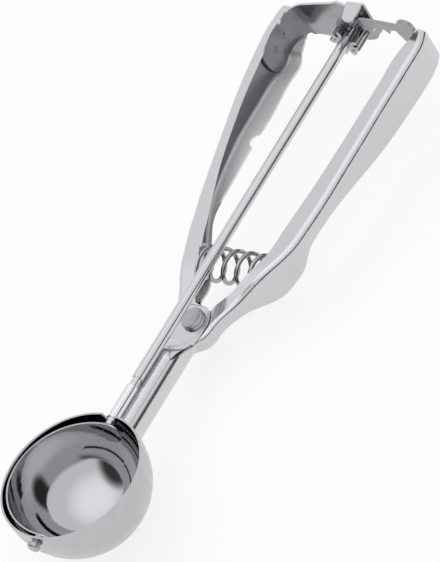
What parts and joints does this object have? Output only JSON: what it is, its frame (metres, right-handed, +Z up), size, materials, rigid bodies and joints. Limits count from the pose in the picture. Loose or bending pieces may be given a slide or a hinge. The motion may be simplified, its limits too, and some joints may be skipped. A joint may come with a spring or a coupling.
{
  "type": "lever ice cream scoop",
  "caption": "Stainless steel ice cream scoop: round bowl swept by a curved scraper that a rack and pinion turns as the spring-loaded handles are squeezed.",
  "frame": {"origin": "middle of the tool's footprint, level with the underside of the bowl", "axes": "+X from the bowl along the scraper shaft to the ends of the handles, +Y towards the fixed handle, +Z up out of the bowl's mouth"},
  "size_m": [0.2284, 0.0672, 0.038],
  "materials": {
    "polished_steel": "polished stainless steel",
    "spring_steel": "bright drawn spring wire"
  },
  "bodies": {
    "frame": {"bowl": "polished_steel", "shaft_sleeve": "polished_steel", "neck_shell": "polished_steel", "fixed_handle": "polished_steel", "bridge_bracket": "polished_steel", "pivot_rivet": "polished_steel", "pivot_washer": "polished_steel", "return_spring": "spring_steel"},
    "lever": {"moving_handle": "polished_steel", "rack": "polished_steel"},
    "scraper": {"scraper_blade": "polished_steel", "scraper_shaft": "polished_steel", "front_pivot_pin": "polished_steel", "pinion": "polished_steel"}
  },
  "joints": [
    {"name": "handle_hinge", "type": "hinge", "parent": "frame", "child": "lever", "pos_m": [-0.01215, 0.00266, 0.0129], "axis": [-0.0924, 0, 0.9957], "range_deg": [0, 7.1], "stiffness_Nm_per_rad": 0.9, "springref_deg": -14.32, "deforming": ["return_spring"]},
    {"name": "scraper_turn", "type": "hinge", "parent": "frame", "child": "scraper", "pos_m": [-0.08635, 0.00266, 0.0255], "axis": [-1, 0, 0], "range_deg": [0, 170]}
  ],
  "couplings": [
    {"joint": "scraper_turn", "follows": "handle_hinge", "ratio": 23.8}
  ]
}
